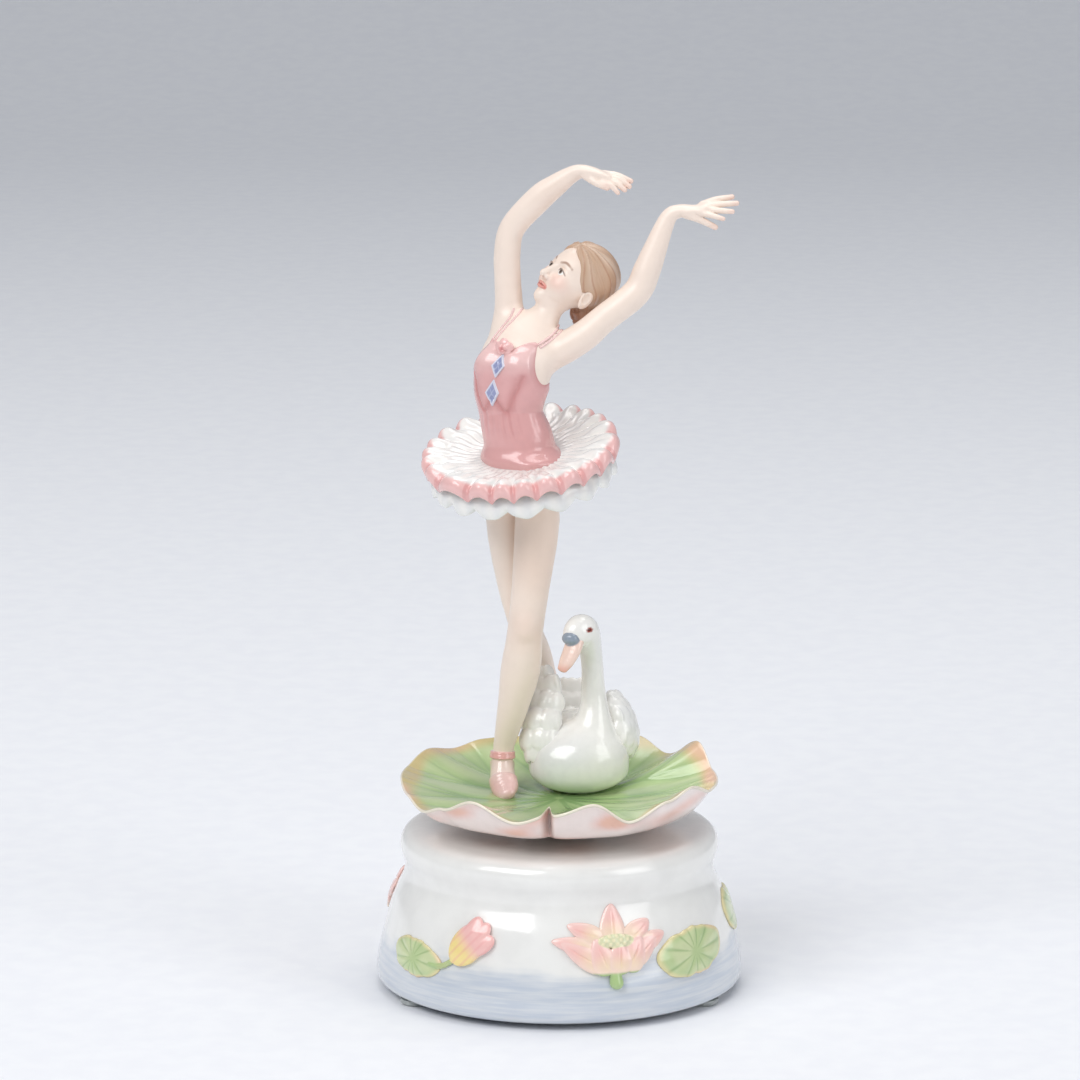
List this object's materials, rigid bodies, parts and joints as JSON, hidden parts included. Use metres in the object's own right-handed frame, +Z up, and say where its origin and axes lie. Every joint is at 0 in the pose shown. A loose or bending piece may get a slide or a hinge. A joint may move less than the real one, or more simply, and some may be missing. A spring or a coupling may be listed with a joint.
{
  "type": "musical figurine",
  "caption": "Porcelain ballerina and swan on a lily pad that turns on a round wind-up music base.",
  "frame": {"origin": "on the table, on the turntable's axis, at the middle of the base", "axes": "+Z up along the turntable's axis, -Y towards the figurine's front, +X to the right as seen from the front"},
  "size_m": [0.097, 0.097, 0.2178],
  "materials": {
    "porcelain": "glossy white glaze with a blue-grey wash",
    "white": "glossy white glaze",
    "skin": "creamy satin glaze",
    "bodice": "dusty rose glaze",
    "skirt": "white glaze with a pink ruffle",
    "pink": "pink glaze",
    "blue": "lavender enamel",
    "hair": "brown glaze",
    "beak": "peach glaze",
    "leaf": "green glaze with darker veins",
    "bloom": "pink and yellow glaze",
    "plastic": "moulded",
    "clear": "clear soft bumper",
    "cast": "cast zinc, as cast",
    "steel": "ground",
    "brass": "cut",
    "hub": "darkened"
  },
  "bodies": {
    "base": {"base_shell": "porcelain", "lotus_bloom_front": "bloom", "lotus_bloom_left": "bloom", "lotus_leaf_front": "leaf", "lotus_leaf_right": "leaf", "lotus_leaf_back": "leaf", "lotus_sprig_front": "bloom", "lotus_sprig_back": "bloom", "bottom_cover": "plastic", "foot_left": "clear", "foot_right": "clear", "foot_back": "clear", "bedplate": "cast", "comb": "steel", "comb_block": "cast", "comb_screw_1": "steel", "comb_screw_2": "steel", "bed_screw_1": "steel", "bed_screw_2": "steel", "governor_frame": "brass", "click": "steel"},
    "turntable": {"spring_barrel": "brass", "barrel_lid": "brass", "crown_wheel": "brass", "mainspring": "steel", "spindle": "steel", "turntable_hub": "hub", "lily_pad": "leaf", "torso": "bodice", "neck": "skin", "head": "skin", "hair": "hair", "right_arm": "skin", "left_arm": "skin", "front_leg": "skin", "rear_leg": "skin", "front_slipper": "pink", "rear_slipper": "pink", "tutu_skirt": "skirt", "tutu_petticoat": "white", "rosette": "pink", "bodice_jewels": "blue", "swan_body": "white", "swan_neck": "white", "swan_beak": "beak", "swan_right_wing": "white", "swan_left_wing": "white"},
    "cylinder": {"pinned_cylinder": "brass", "cylinder_arbor": "steel", "cylinder_pinion": "brass", "cylinder_wheel": "brass"},
    "train": {"train_arbor": "steel", "train_pinion": "brass", "worm_wheel": "plastic"},
    "governor": {"governor_worm": "steel", "governor_fan": "plastic"},
    "winding_key": {"winding_key": "brass", "winding_arbor": "steel", "ratchet_wheel": "steel"}
  },
  "joints": [
    {"name": "turntable_spin", "type": "hinge", "parent": "base", "child": "turntable", "pos_m": [0, 0, 0], "axis": [0, 0, 1], "continuous": true},
    {"name": "cylinder_spin", "type": "hinge", "parent": "base", "child": "cylinder", "pos_m": [0, 0, 0.025], "axis": [1, 0, 0], "continuous": true},
    {"name": "train_spin", "type": "hinge", "parent": "base", "child": "train", "pos_m": [0, -0.0108, 0.025], "axis": [1, 0, 0], "continuous": true},
    {"name": "governor_spin", "type": "hinge", "parent": "base", "child": "governor", "pos_m": [0.027, -0.0162, 0.025], "axis": [0, 0, 1], "continuous": true},
    {"name": "key_wind", "type": "hinge", "parent": "base", "child": "winding_key", "pos_m": [0, 0, 0], "axis": [0, 0, 1], "range_deg": [0, 1800]}
  ],
  "couplings": [
    {"joint": "cylinder_spin", "follows": "turntable_spin", "ratio": 4},
    {"joint": "train_spin", "follows": "turntable_spin", "ratio": -14},
    {"joint": "governor_spin", "follows": "turntable_spin", "ratio": -168}
  ]
}
